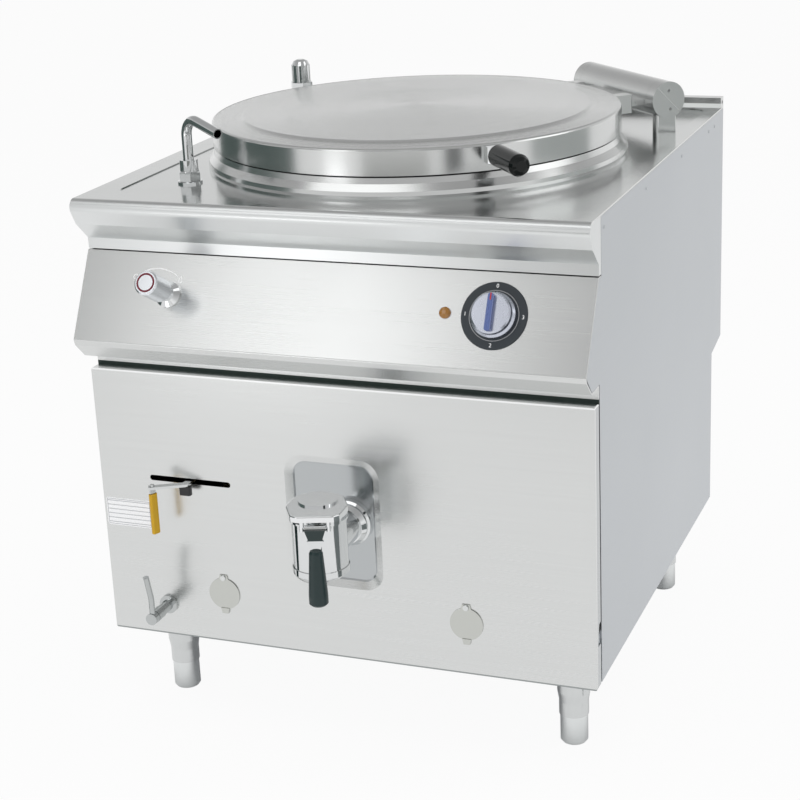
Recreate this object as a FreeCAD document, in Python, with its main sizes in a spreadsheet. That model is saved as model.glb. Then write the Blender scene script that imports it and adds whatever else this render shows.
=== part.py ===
import FreeCAD, Part
import Sketcher
import math
import operator
import os

# Electric boiling kettle with a water jacket, a hinged lid and a front draw-off tap.
# X runs to the right, Y to the rear and Z up. The floor is Z = 0 and the origin
# lies under the middle of the whole object.

Vector = FreeCAD.Vector
Rotation = FreeCAD.Rotation
Placement = FreeCAD.Placement

doc = FreeCAD.newDocument("kettle")
sheet = doc.addObject("Spreadsheet::Sheet", "Sizes")

# Driving sizes: name, millimetres or degrees, meaning
SIZES = [
    ("width", 800, "cabinet width"),
    ("depth", 900, "fascia lip to rear rail"),
    ("top_height", 850, "worktop above the floor"),
    ("leg_height", 145, "underside of the cabinet"),
    ("sheet_thick", 2, "cabinet sheet"),
    ("lip_out", 42, "fascia lip in front of the front panel"),
    ("lip_drop", 210, "lower end of the sloping fascia below the worktop"),
    ("fascia_rise", 124, "height of the sloping fascia"),
    ("fascia_tilt", 29, "fascia slope from the vertical"),
    ("chin_drop", 243, "underside of the fascia box below the worktop"),
    ("panel_drop", 267, "top of the front panel below the worktop"),
    ("panel_return", 22, "depth of the front panel folds"),
    ("step_rise", 288, "rear step above the underside of the cabinet"),
    ("step_in", 75, "how far the lower rear is set in"),
    ("rail_rise", 18, "rear rail above the worktop"),
    ("rail_deep", 20, "depth of the rear rail"),
    ("leg_across", 335, "legs from the middle"),
    ("leg_front", 100, "front legs behind the front panel"),
    ("leg_rear", 690, "rear legs behind the front panel"),
    ("leg_radius", 25.5, "leg sleeve"),
    ("foot_radius", 21.5, "adjustable foot"),
    ("kettle_back", 402, "kettle axis behind the front panel"),
    ("vessel_radius", 300, "inside of the vessel"),
    ("vessel_floor", 37, "vessel floor below the axis of the tap outlet"),
    ("vessel_wall", 3, "vessel sheet"),
    ("jacket_radius", 335, "outside of the jacket"),
    ("jacket_drop", 90, "top of the jacket below the worktop"),
    ("jacket_bottom", 240, "underside of the jacket"),
    ("wool_thick", 18, "heat insulation"),
    ("collar_radius", 334, "foot of the kettle collar"),
    ("collar_rise", 28, "collar above the worktop"),
    ("lid_radius", 326, "outside of the lid"),
    ("lid_skirt", 39, "height of the lid rim"),
    ("lid_dome", 8, "rise of the lid centre"),
    ("tap_across", 18, "tap axis from the middle"),
    ("tap_out", 108, "tap axis in front of the front panel"),
    ("tap_height", 370, "tap outlet axis above the floor"),
    ("tap_radius", 41, "tap body"),
    ("grip_out", 60, "tap grip from the tap axis"),
    ("grip_radius", 14, "tap grip"),
    ("recess_wide", 153, "pressed recess around the tap"),
    ("recess_tall", 210, "pressed recess around the tap"),
    ("recess_deep", 7, "depth of the pressed recess"),
    ("recess_off", 25, "recess middle to the left of the tap"),
    ("slot_long", 138, "slot of the jacket valve lever"),
    ("slot_across", 245, "slot middle from the middle, to the left"),
    ("slot_height", 410, "slot above the floor"),
    ("cover_across", 200, "swing covers from the middle"),
    ("cover_height", 226, "swing covers above the floor"),
    ("cover_radius", 26, "swing cover"),
    ("cock_across", 300, "level cock from the middle, to the left"),
    ("cock_height", 196, "level cock above the floor"),
    ("dial_across", 258, "dial from the middle"),
    ("dial_radius", 49, "dial plate"),
    ("dial_slope", 79, "dial up the fascia slope from the lip"),
    ("knob_radius", 33, "heat knob"),
    ("lamp_across", 185, "pilot lamp from the middle"),
    ("water_across", 252, "water valve from the middle, to the left"),
    ("water_radius", 18.5, "water knob"),
    ("spout_across", 273, "filling spout from the middle, to the left"),
    ("spout_back", 133, "filling spout behind the front panel"),
    ("spout_rise", 84, "spout outlet above the worktop"),
    ("spout_reach", 86, "spout outlet from its swivel axis"),
    ("spout_radius", 8, "spout tube"),
    ("relief_across", 334, "jacket relief valve from the middle, to the left"),
    ("relief_back", 705, "jacket relief valve behind the front panel"),
    ("hinge_space", 44, "hinge tube from the lid"),
    ("hinge_rise", 55, "hinge axis above the worktop"),
    ("hinge_radius", 30, "hinge tube"),
    ("hinge_near", 112, "front end of the hinge from its middle line"),
    ("hinge_far", 150, "rear end of the hinge from its middle line"),
    ("hinge_head", 22, "thickness of each hinge head"),
    ("gap", 0.3, "plain clearance between pieces"),
    ("running", 0.1, "radial clearance of turning fits"),
]


class Dim(float):
    """A size with its value and the sheet expression behind it."""

    def __new__(cls, value, text):
        made = float.__new__(cls, value)
        made.text = text
        return made

    def __add__(self, other):
        return joined(self, "+", other)

    def __radd__(self, other):
        return joined(other, "+", self)

    def __sub__(self, other):
        return joined(self, "-", other)

    def __rsub__(self, other):
        return joined(other, "-", self)

    def __mul__(self, other):
        return joined(self, "*", other)

    def __rmul__(self, other):
        return joined(other, "*", self)

    def __truediv__(self, other):
        return joined(self, "/", other)

    def __neg__(self):
        return joined(0, "-", self)


SIGNS = {"+": operator.add, "-": operator.sub, "*": operator.mul, "/": operator.truediv}


def text_of(value):
    return value.text if isinstance(value, Dim) else repr(float(value))


def joined(left, sign, right):
    value = SIGNS[sign](float(left), float(right))
    return Dim(value, "(%s %s %s)" % (text_of(left), sign, text_of(right)))


def sine(angle):
    return Dim(math.sin(math.radians(angle)), "sin(%s)" % text_of(angle))


def cosine(angle):
    return Dim(math.cos(math.radians(angle)), "cos(%s)" % text_of(angle))


def span_of(across, along):
    return Dim(math.hypot(across, along), "hypot(%s; %s)" % (text_of(across), text_of(along)))


def turn_of(across, along):
    """Degrees from +X round to the point (across, along)."""
    turn = math.degrees(math.atan2(along, across))
    return Dim(turn, "(atan2(%s; %s) / 1 deg)" % (text_of(along), text_of(across)))


def size(name):
    return Dim(VALUES[name], "Sizes." + name)


VALUES = {}
for row, (name, value, meaning) in enumerate(SIZES, 1):
    sheet.set("A%d" % row, name)
    sheet.set("B%d" % row, str(value))
    sheet.set("C%d" % row, meaning)
    sheet.setAlias("B%d" % row, name)
    VALUES[name] = float(value)
doc.recompute()

width, depth, top_height = size("width"), size("depth"), size("top_height")
leg_height, sheet_thick, lip_out = size("leg_height"), size("sheet_thick"), size("lip_out")
kettle_back, vessel_radius = size("kettle_back"), size("vessel_radius")
vessel_wall, jacket_radius = size("vessel_wall"), size("jacket_radius")
lid_radius, clear, running = size("lid_radius"), size("gap"), size("running")
tap_out, tap_height, tap_across = size("tap_out"), size("tap_height"), size("tap_across")
tilt = size("fascia_tilt")
half = width / 2

# Heights that keep their distance from the worktop or from the underside
lip_z = top_height - size("lip_drop")
chin_z = top_height - size("chin_drop")
panel_z = top_height - size("panel_drop")
jacket_z = top_height - size("jacket_drop")
step_z = leg_height + size("step_rise")

# The front panel face lies at `front`; distances behind it are added to it
front = (tap_out + size("grip_out") + size("grip_radius") - 4 - depth + lip_out) / 2
rear = depth - lip_out
deck = top_height - 1.5
rim_height = top_height + size("collar_rise")
kettle_y = front + kettle_back

parts = []


# Sketch helpers

def body(label):
    made = doc.addObject("PartDesign::Body", label)
    made.Label = label
    parts.append(made)
    return made


def bind(target, prop, value):
    if isinstance(value, Dim):
        target.setExpression(prop, value.text)


def put(piece, x=0, y=0, z=0, axis=Vector(0, 0, 1), angle=0):
    piece.Placement = Placement(Vector(x, y, z), Rotation(axis, float(angle)))
    bind(piece, "Placement.Base.x", x)
    bind(piece, "Placement.Base.y", y)
    bind(piece, "Placement.Base.z", z)
    bind(piece, "Placement.Rotation.Angle", angle)
    return piece


def sketch(piece, plane="XZ", lift=0, shift_x=0, shift_y=0, lean=0):
    """A sketch on an origin plane: XZ faces the front, XY up and YZ to the right."""
    made = piece.newObject("Sketcher::SketchObject", "sketch")
    origin = [f for f in piece.Origin.OriginFeatures if f.Role == plane + "_Plane"][0]
    made.AttachmentSupport = (origin, [""])
    made.MapMode = "FlatFace"
    made.AttachmentOffset = Placement(Vector(shift_x, shift_y, lift), Rotation(Vector(1, 0, 0), float(lean)))
    bind(made, "AttachmentOffset.Base.x", shift_x)
    bind(made, "AttachmentOffset.Base.y", shift_y)
    bind(made, "AttachmentOffset.Base.z", lift)
    bind(made, "AttachmentOffset.Rotation.Angle", lean)
    return made


def hold(drawn, kind, where, value):
    """Fix one coordinate or radius to a size."""
    index = drawn.addConstraint(Sketcher.Constraint(kind, *where, float(value)))
    if isinstance(value, Dim):
        drawn.setExpression("Constraints[%d]" % index, value.text)


def outline(drawn, corners):
    """A closed line through the corners."""
    start = drawn.GeometryCount
    count = len(corners)
    for i, corner in enumerate(corners):
        following = corners[(i + 1) % count]
        a = Vector(float(corner[0]), float(corner[1]), 0)
        b = Vector(float(following[0]), float(following[1]), 0)
        drawn.addGeometry(Part.LineSegment(a, b))
    for i, corner in enumerate(corners):
        drawn.addConstraint(Sketcher.Constraint("Coincident", start + i, 2, start + (i + 1) % count, 1))
        hold(drawn, "DistanceX", (start + i, 1), corner[0])
        hold(drawn, "DistanceY", (start + i, 1), corner[1])
    return drawn


def disc(drawn, radius, x=0, y=0):
    index = drawn.addGeometry(Part.Circle(Vector(float(x), float(y), 0), Vector(0, 0, 1), float(radius)))
    hold(drawn, "DistanceX", (index, 3), x)
    hold(drawn, "DistanceY", (index, 3), y)
    hold(drawn, "Radius", (index,), radius)
    return drawn


def rounded(drawn, wide, tall, radius, x=0, y=0):
    """A rectangle about (x, y) with round corners."""
    start = drawn.GeometryCount
    signs = [(1, 1), (-1, 1), (-1, -1), (1, -1)]
    middles = [(x + s * (wide / 2 - radius), y + r * (tall / 2 - radius)) for s, r in signs]
    for i, (mx, my) in enumerate(middles):
        circle = Part.Circle(Vector(float(mx), float(my), 0), Vector(0, 0, 1), float(radius))
        turn = i * math.pi / 2
        drawn.addGeometry(Part.ArcOfCircle(circle, turn, turn + math.pi / 2))
    for i in range(4):
        a = drawn.getPoint(start + i, 2)
        b = drawn.getPoint(start + (i + 1) % 4, 1)
        drawn.addGeometry(Part.LineSegment(a, b))
    for i, (mx, my) in enumerate(middles):
        drawn.addConstraint(Sketcher.Constraint("Tangent", start + i, 2, start + 4 + i, 1))
        drawn.addConstraint(Sketcher.Constraint("Tangent", start + 4 + i, 2, start + (i + 1) % 4, 1))
        hold(drawn, "DistanceX", (start + i, 3), mx)
        hold(drawn, "DistanceY", (start + i, 3), my)
        hold(drawn, "Radius", (start + i,), radius)
    return drawn


def hexagon(drawn, flats, x=0, y=0):
    far = flats / math.sqrt(3)
    corners = []
    for i in range(6):
        turn = math.radians(60 * i)
        corners.append((x + far * math.cos(turn), y + far * math.sin(turn)))
    return outline(drawn, corners)


# Feature helpers

def pad(piece, drawn, length, back=False, middle=False):
    made = piece.newObject("PartDesign::Pad", "pad")
    made.Profile = drawn
    made.Length = float(length)
    bind(made, "Length", length)
    made.SideType = "Symmetric" if middle else "One side"
    made.Reversed = back
    drawn.Visibility = False
    return made


def cut(piece, drawn, length=None, back=False, middle=False):
    made = piece.newObject("PartDesign::Pocket", "cut")
    made.Profile = drawn
    made.Type = "ThroughAll" if length is None else "Length"
    if length is not None:
        made.Length = float(length)
        bind(made, "Length", length)
    made.SideType = "Symmetric" if middle else "One side"
    made.Reversed = back
    return made


def spin(piece, drawn, remove=False, axis="V_Axis"):
    made = piece.newObject("PartDesign::Groove" if remove else "PartDesign::Revolution", "turned")
    made.Profile = drawn
    made.ReferenceAxis = (drawn, [axis])
    made.Angle = 360
    return made


def loft(piece, sections, remove=False):
    made = piece.newObject("PartDesign::SubtractiveLoft" if remove else "PartDesign::AdditiveLoft", "loft")
    made.Profile = sections[0]
    made.Sections = sections[1:]
    return made


def path(drawn, corners, bend):
    """An open line through the corners with round bends; its ends are held by the sizes."""
    points = [corners[0]]
    bends = []
    for before, corner, after in zip(corners, corners[1:], corners[2:]):
        a = Vector(corner[0] - before[0], corner[1] - before[1], 0).normalize()
        b = Vector(after[0] - corner[0], after[1] - corner[1], 0).normalize()
        reach = float(bend) * math.tan(a.getAngle(b) / 2)
        side = 1 if a.cross(b).z > 0 else -1
        start = (corner[0] - a.x * reach, corner[1] - a.y * reach)
        end = (corner[0] + b.x * reach, corner[1] + b.y * reach)
        centre = Vector(start[0] - side * a.y * bend, start[1] + side * a.x * bend, 0)
        points += [start, end]
        bends.append((centre, side, a, b))
    points.append(corners[-1])
    for i in range(0, len(points), 2):
        ends = [Vector(float(x), float(y), 0) for x, y in points[i:i + 2]]
        line = drawn.addGeometry(Part.LineSegment(*ends))
        for end, point in ((1, points[i]), (2, points[i + 1])):
            hold(drawn, "DistanceX", (line, end), point[0])
            hold(drawn, "DistanceY", (line, end), point[1])
        if i:
            drawn.addConstraint(Sketcher.Constraint("Coincident", *joint, line, 1))
        if i // 2 < len(bends):
            centre, side, a, b = bends[i // 2]
            turn = math.atan2(-side * a.x, side * a.y)
            sweep_angle = a.getAngle(b)
            circle = Part.Circle(centre, Vector(0, 0, 1), float(bend))
            first, last = (turn, turn + sweep_angle) if side > 0 else (turn - sweep_angle, turn)
            arc = drawn.addGeometry(Part.ArcOfCircle(circle, first, last))
            near, far = (1, 2) if side > 0 else (2, 1)
            drawn.addConstraint(Sketcher.Constraint("Tangent", line, 2, arc, near))
            joint = (arc, far)
    return drawn


def sweep(piece, profile, path):
    made = piece.newObject("PartDesign::AdditivePipe", "sweep")
    made.Profile = profile
    made.Spine = (path, ["Edge%d" % (i + 1) for i in range(path.GeometryCount)])
    return made


def edges(piece, test):
    """Names of the edges whose middle point passes the test, in the frame of the piece."""
    doc.recompute()
    found = []
    for i, edge in enumerate(piece.Tip.Shape.Edges, 1):
        middle = edge.valueAt((edge.FirstParameter + edge.LastParameter) / 2)
        if test(middle, edge):
            found.append("Edge%d" % i)
    return found


def near(piece, y, z):
    """Edges that cross the middle of the cabinet within a millimetre of (y, z)."""
    return edges(piece, lambda m, e: max(abs(m.x), abs(m.y - y), abs(m.z - z)) < 1)


def fillet(piece, names, radius):
    base = piece.Tip
    made = piece.newObject("PartDesign::Fillet", "round")
    made.Base = (base, names)
    made.Radius = float(radius)
    bind(made, "Radius", radius)
    return made


def polar(piece, features, count, plane_axis):
    made = piece.newObject("PartDesign::PolarPattern", "ring")
    made.Originals = features
    made.Axis = (plane_axis, ["N_Axis"])
    made.Occurrences = count
    piece.Tip = made
    return made


def group(label, members):
    """Identical fixed pieces kept together as one group of separate solids."""
    made = doc.addObject("Part::Compound", label)
    made.Label = label
    made.Links = members
    for member in members:
        parts.remove(member)
    parts.append(made)
    return made


def turned(label, corners, x=0, y=0, z=0, axis=Vector(0, 0, 1), angle=0):
    """A piece turned about its own Z axis; corners are (radius, height)."""
    made = body(label)
    spin(made, outline(sketch(made), corners))
    return put(made, x, y, z, axis, angle)


def behind(distance):
    """Y of a point this far behind the front panel face."""
    return front + distance


def fascia(across, slope, out=0):
    """A point on the sloping fascia, `out` in front of it."""
    y = front - lip_out + slope * sine(tilt) - out * cosine(tilt)
    z = lip_z + slope * cosine(tilt) + out * sine(tilt)
    return across, y, z


def band(label, corners, span, lift=0, middle=True):
    """A sheet piece drawn in side view and run across the cabinet."""
    made = body(label)
    pad(made, outline(sketch(made, "YZ", lift), corners), span, middle=middle)
    return made


X_AXIS = Vector(1, 0, 0)
Z_AXIS = Vector(0, 0, 1)
lean = 90 - tilt
wall = sheet_thick
floor_back = rear - size("step_in")
lip_back = wall / cosine(tilt)
fascia_top = lip_z + size("fascia_rise")
fascia_in = size("fascia_rise") * sine(tilt) / cosine(tilt) - lip_out

# Base pan with upturned edges, corner gussets and holes for the leg studs
pan = body("base_pan")
pan_half = half - wall - clear
pan_front, pan_back = behind(30), behind(floor_back - 4)
corners = [(-pan_half, pan_front), (pan_half, pan_front), (pan_half, pan_back), (-pan_half, pan_back)]
pad(pan, outline(sketch(pan, "XY", leg_height), corners), 42)
inset = 2.5
corners = [(-pan_half + inset, pan_front + inset), (pan_half - inset, pan_front + inset),
           (pan_half - inset, pan_back - inset), (-pan_half + inset, pan_back - inset)]
cut(pan, outline(sketch(pan, "XY", leg_height + inset), corners), 60, back=True)
for side in (-1, 1):
    low = leg_height + 1
    corners = [(behind(3), low), (behind(34), low), (behind(34), low + 70),
               (behind(26), low + 84), (behind(3), low + 58)]
    lift = pan_half - 2 if side > 0 else -pan_half
    pad(pan, outline(sketch(pan, "YZ", lift), corners), 2)
studs = sketch(pan, "XY", leg_height)
for side in (-1, 1):
    for back in (size("leg_front"), size("leg_rear")):
        disc(studs, 6, side * size("leg_across"), behind(back))
cut(pan, studs, 12, middle=True)

# Side panels: the front edge follows the fascia, the lower rear is set in
cheek_top = top_height - 3 - clear
cheek_fold = fascia_top - wall - clear
cheek = [(behind(27), leg_height), (behind(27), chin_z + wall + clear),
         (behind(-12), chin_z + wall + clear), (behind(-35), lip_z - 7),
         (behind(lip_back + clear - lip_out), lip_z),
         (behind(fascia_in + lip_back + clear - 1.3), cheek_fold), (behind(fascia_in + 15), cheek_fold),
         (behind(fascia_in + 15), cheek_top), (behind(rear), cheek_top), (behind(rear), step_z),
         (behind(floor_back), step_z - 13), (behind(floor_back), leg_height)]
rivet_row = [behind(back) for back in (58, 300, 536, 740, 785)]
rivet_z = top_height - 22
for label, lift in (("left_side_panel", -half), ("right_side_panel", half - wall)):
    side_panel = band(label, cheek, wall, lift, middle=False)
    shanks = sketch(side_panel, "YZ", lift)
    for back in rivet_row:
        disc(shanks, 1.6 + running, back, rivet_z)
    cut(side_panel, shanks, 10, middle=True)

# Rear panel folded round the pipe recess
skin = rear - wall
low_skin = floor_back - wall
rear_panel = band("rear_panel", [
    (behind(rear), cheek_top), (behind(rear), step_z),
    (behind(floor_back), step_z - 13), (behind(floor_back), leg_height),
    (behind(low_skin), leg_height), (behind(low_skin), step_z - 11.6),
    (behind(skin), step_z + 1.4), (behind(skin), cheek_top)],
    width - 2 * wall - 2 * clear)
slit = rounded(sketch(rear_panel, "XZ", -behind(rear)), 60, 6, 2.9, 150 - half, top_height - 150)
vent = cut(rear_panel, slit, 12, middle=True)
row = rear_panel.newObject("PartDesign::LinearPattern", "row")
row.Originals = [vent]
row.Direction = (vent.Profile[0], ["H_Axis"])
row.Length = float(width - 300)
bind(row, "Length", width - 300)
row.Occurrences = 6
rear_panel.Tip = row
gland_x, gland_z = half - 150, leg_height + 115
inlets = sketch(rear_panel, "XZ", -behind(floor_back))
disc(inlets, 12.5 + clear, gland_x, gland_z)
cut(rear_panel, inlets, 12, middle=True)

# Front panel: a folded tray with the pressed recess for the tap
panel = body("front_panel")
bottom = leg_height - wall
middle_z = (panel_z + bottom) / 2
panel_tall = panel_z - bottom
tray = rounded(sketch(panel, "XZ", -front), width, panel_tall, 3, 0, middle_z)
pad(panel, tray, size("panel_return"), back=True)
inside = sketch(panel, "XZ", -behind(wall))
rounded(inside, width - 2 * wall, panel_tall - 2 * wall, 1.5, 0, middle_z)
cut(panel, inside, 60)
deep = size("recess_deep")
wide, tall = size("recess_wide"), size("recess_tall")
recess_x, recess_z = tap_across - size("recess_off"), tap_height - 4


def recess(rows):
    """Two rounded outlines of the pressed recess: distance behind the face, growth and corner."""
    found = []
    for distance, growth, corner in rows:
        drawn = sketch(panel, "XZ", -behind(distance))
        found.append(rounded(drawn, wide + growth, tall + growth, corner, recess_x, recess_z))
    return found


loft(panel, recess([(wall / 2, 2 * wall, 32), (deep + wall, 2 * wall - 26, 22)]))
loft(panel, recess([(-0.5, 2, 31), (deep, -28, 20)]), remove=True)
holes = sketch(panel, "XZ", -behind(deep))
disc(holes, 26, tap_across, tap_height)
disc(holes, 10, -size("cock_across"), size("cock_height"))
rounded(holes, size("slot_long"), 9, 4.4, -size("slot_across"), size("slot_height"))
for side in (-1, 1):
    disc(holes, 20, side * size("cover_across"), size("cover_height"))
    disc(holes, 2.5, side * size("cover_across"), size("cover_height") + 27)
cut(panel, holes, 40, middle=True)
notch = sketch(panel, "YZ", 0)
outline(notch, [(behind(8), leg_height + 66), (behind(40), leg_height + 66),
                (behind(40), leg_height + 104), (behind(14), leg_height + 100)])
cut(panel, notch, width + 20, middle=True)

# Control panel: sloping fascia, rounded lip and a chin folded back under
chin = chin_z
lip = lip_z
inner_in = fascia_in + lip_back
control = band("control_panel", [
    (behind(fascia_in), fascia_top), (behind(-lip_out), lip), (behind(-lip_out + 3), lip - 9),
    (behind(-14), chin), (behind(22.5), chin), (behind(22.5), chin - 32), (behind(22.5 + wall), chin - 32),
    (behind(22.5 + wall), chin + wall), (behind(-13), chin + wall), (behind(-lip_out + 5), lip - 8),
    (behind(-lip_out + lip_back), lip), (behind(inner_in - 1), fascia_top - wall),
    (behind(fascia_in + 14), fascia_top - wall), (behind(fascia_in + 14), fascia_top)], width)
lips = edges(control, lambda m, e: abs(m.x) < 1 and abs(m.z - lip) < 2 and e.Length > half)
fillet(control, lips, 4)
stations = sketch(control, "XZ", lip_out - front, 0, lip, -tilt)
disc(stations, 6.5, size("dial_across"), size("dial_slope"))
disc(stations, 6, size("lamp_across"), size("dial_slope"))
disc(stations, 11, -size("water_across"), size("dial_slope"))
cut(control, stations, 16, middle=True)

# Worktop: bull nose, folded return, shallow drip recess and the kettle opening
top = top_height
worktop = band("worktop", [
    (behind(rear), top), (behind(-14), top), (behind(-16), top - 16), (behind(-2), top - 40),
    (behind(fascia_in + 2), top - 68), (behind(fascia_in + 2), top - 84.5),
    (behind(fascia_in + 4), top - 84.5), (behind(fascia_in + 4), top - 67),
    (behind(1), top - 38.4), (behind(-13.2), top - 15.6), (behind(-11.6), top - 3),
    (behind(rear), top - 3)], width)
fillet(worktop, near(worktop, front - 14, top), 13)
fillet(worktop, near(worktop, front - 11.6, top - 3), 10)
fillet(worktop, near(worktop, front - 16, top - 16), 11)
fillet(worktop, near(worktop, front - 13.2, top - 15.6), 9)
for side in (-1, 1):
    corners = [(behind(-5), top - 2), (behind(-11), top - 7), (behind(-14.2), top - 15),
               (behind(-1), top - 38.6), (behind(fascia_in + 3), top - 67.5),
               (behind(fascia_in + 3), top - 84.5), (behind(fascia_in + 14), top - 84.5),
               (behind(fascia_in + 14), top - 2)]
    lift = half - wall if side > 0 else -half
    pad(worktop, outline(sketch(worktop, "YZ", lift), corners), wall)
cut(worktop, disc(sketch(worktop, "XY", top), size("collar_radius") - 13, 0, kettle_y), 20)
drip = sketch(worktop, "XY", top)
rounded(drip, width - 66, rear - 70, 30, 9, behind(rear / 2 + 9))
cut(worktop, drip, 1.5)
fittings = sketch(worktop, "XY", top)
disc(fittings, 10.5, -size("spout_across"), behind(size("spout_back")))
disc(fittings, 9, -size("relief_across"), behind(size("relief_back")))
cut(worktop, fittings, 20)

# Rear rail: a closed box along the back of the worktop
rail = body("rear_rail")
rail_low, rail_high = top, top + size("rail_rise")
rail_front, rail_back = behind(rear - size("rail_deep")), behind(rear)
pad(rail, outline(sketch(rail, "YZ"), [
    (rail_front + 3, rail_low), (rail_back, rail_low), (rail_back, rail_high),
    (rail_front, rail_high), (rail_front, rail_low + 8)]), width, middle=True)
hollow = outline(sketch(rail, "YZ"), [
    (rail_front + 4.5, rail_low + 1.5), (rail_back - 1.5, rail_low + 1.5), (rail_back - 1.5, rail_high - 1.5),
    (rail_front + 1.5, rail_high - 1.5), (rail_front + 1.5, rail_low + 8)])
cut(rail, hollow, width - 3, middle=True)
cut(rail, disc(sketch(rail, "YZ"), 3, rail_back - 9, rail_high - 9), width + 10, middle=True)

# Legs: four sleeves under the base pan and four screw feet
def leg_spots():
    return [(name, side * size("leg_across"), behind(back)) for name, side, back in (
        ("front_left", -1, size("leg_front")), ("front_right", 1, size("leg_front")),
        ("rear_left", -1, size("leg_rear")), ("rear_right", 1, size("leg_rear")))]


sleeve, foot = size("leg_radius"), size("foot_radius")
sleeves = []
for name, x, y in leg_spots():
    sleeves.append(turned("sleeve_" + name, [
        (0, leg_height + 12), (5.7, leg_height + 12), (5.7, leg_height), (sleeve, leg_height),
        (sleeve, 87), (foot + 1.5, 71), (foot + 1.5, 48), (13, 48), (13, 100), (0, 100)], x, y))
group("leg_sleeves", sleeves)
for name, x, y in leg_spots():
    turned("foot_" + name, [
        (0, 99), (13 - running, 99), (13 - running, 47.7), (foot, 47.7),
        (foot, 4), (foot - 3, 0), (0, 0)], x, y)

# Kettle: collar, vessel, water jacket and heat insulation, all turned about the kettle axis
foot_r = size("collar_radius")
up = size("collar_rise") + 1.5
turned("kettle_collar", [
    (foot_r - 16, 0), (foot_r, 0), (foot_r + 1.5, 5), (foot_r, 11), (foot_r - 8, 21), (foot_r - 11, up),
    (foot_r - 21, up), (foot_r - 21, up - 2), (foot_r - 13, up - 2), (foot_r - 10, 20),
    (foot_r - 2.2, 10.5), (foot_r - 0.8, 5.3), (foot_r - 2, 2), (foot_r - 16, 2)], 0, kettle_y, deck)

r, t = vessel_radius, vessel_wall
down = tap_height - size("vessel_floor") - rim_height
vessel = turned("inner_vessel", [
    (0, down), (r - 14, down + 3), (r, down + 16), (r, 0), (foot_r - 21.3, 0), (foot_r - 21.3, -t),
    (r + t, -t), (r + t, down + 14), (r - 12, down), (0, down - t)], 0, kettle_y, rim_height)
port = disc(sketch(vessel, "XZ", r - 40), 23 + clear, tap_across, tap_height - rim_height)
cut(vessel, port, 120, back=True)

high, low = jacket_z, size("jacket_bottom")
jr = jacket_radius
jacket = turned("steam_jacket", [
    (r + t + clear, high), (jr, high), (jr, low + 12), (jr - 15, low), (0, low), (0, low + t),
    (jr - 16, low + t), (jr - t, low + 13), (jr - t, high - t), (r + t + clear, high - t)], 0, kettle_y)
cut(jacket, disc(sketch(jacket, "XZ", 260), 23 + clear, tap_across, tap_height), 120, back=True)
heater_z = low + 47
cut(jacket, disc(sketch(jacket, "YZ", 280), 38 + clear, 0, heater_z), 120, back=True)
relief_run = span_of(-size("relief_across"), size("relief_back") - kettle_back)
relief_turn = turn_of(-size("relief_across"), size("relief_back") - kettle_back)
vapour = sketch(jacket, "XY", high)
disc(vapour, 6 + clear, 319 * cosine(relief_turn), 319 * sine(relief_turn))
cut(jacket, vapour, 12)

wool = turned("insulation", [
    (jr + 1, low + 14), (jr + 1 + size("wool_thick"), low + 14),
    (jr + 1 + size("wool_thick"), high - 8), (jr + 1, high - 8)], 0, kettle_y)
cut(wool, disc(sketch(wool, "XZ", 260), 26, tap_across, tap_height), 140, back=True)
cut(wool, disc(sketch(wool, "YZ", 280), 58, 0, heater_z), 140, back=True)

# Heater: a flanged boss on the right of the jacket and three hairpin elements
side_x = jr - 2
turned("heater_flange", [
    (34, 0), (38, 0), (38, 12), (55, 12), (55, 20), (0, 20), (0, 12), (34, 12)],
    side_x, kettle_y, heater_z, Vector(0, 1, 0), 90)
elements = []
for index, rise in enumerate((-22, 0, 22), 1):
    element = body("element_%d" % index)
    root = side_x + 12 - clear
    hairpin = path(sketch(element, "XY"), [(root, -15), (-200, -15), (-200, 15), (root, 15)], 14.5)
    rod = disc(sketch(element, "YZ", root), 4, -15, 0)
    sweep(element, rod, hairpin)
    elements.append(put(element, 0, kettle_y, heater_z + rise))
group("heating_elements", elements)
turned("heater_cover", [
    (0, 33), (47, 33), (50, 30), (50, 0), (48, 0), (48, 29), (46, 31), (0, 31)],
    side_x + 20 + clear, kettle_y, heater_z, Vector(0, 1, 0), 90)

# Relief valve of the jacket: pipe, body on the worktop and fluted cap
relief_x, relief_y = -size("relief_across"), behind(size("relief_back"))
relief_pipe = body("relief_pipe")
spine = path(sketch(relief_pipe), [
    (319, high - 2), (319, high + 30), (relief_run, high + 30), (relief_run, top_height + 12)], 16)
tube = disc(disc(sketch(relief_pipe, "XY", high - 2), 6, 319, 0), 4.5, 319, 0)
sweep(relief_pipe, tube, spine)
put(relief_pipe, 0, kettle_y, 0, Z_AXIS, relief_turn)
relief = turned("relief_valve", [
    (6 + clear, 0), (22, 0), (22, 4), (13, 7), (12, 40), (12, 62), (0, 62), (0, 14), (6 + clear, 14)],
    relief_x, relief_y, deck)
pad(relief, hexagon(sketch(relief, "XY", 46), 36), 11)
cap = turned("relief_cap", [
    (12 + running, 0), (16.5, 0), (16.5, 30), (13, 37), (6, 40), (0, 40), (0, 9), (12 + running, 9)],
    relief_x, relief_y, deck + 57 + clear)
flute = cut(cap, disc(sketch(cap, "XY", -1), 2, 17.4, 0), 33, back=True)
polar(cap, [flute], 12, flute.Profile[0])

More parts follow.
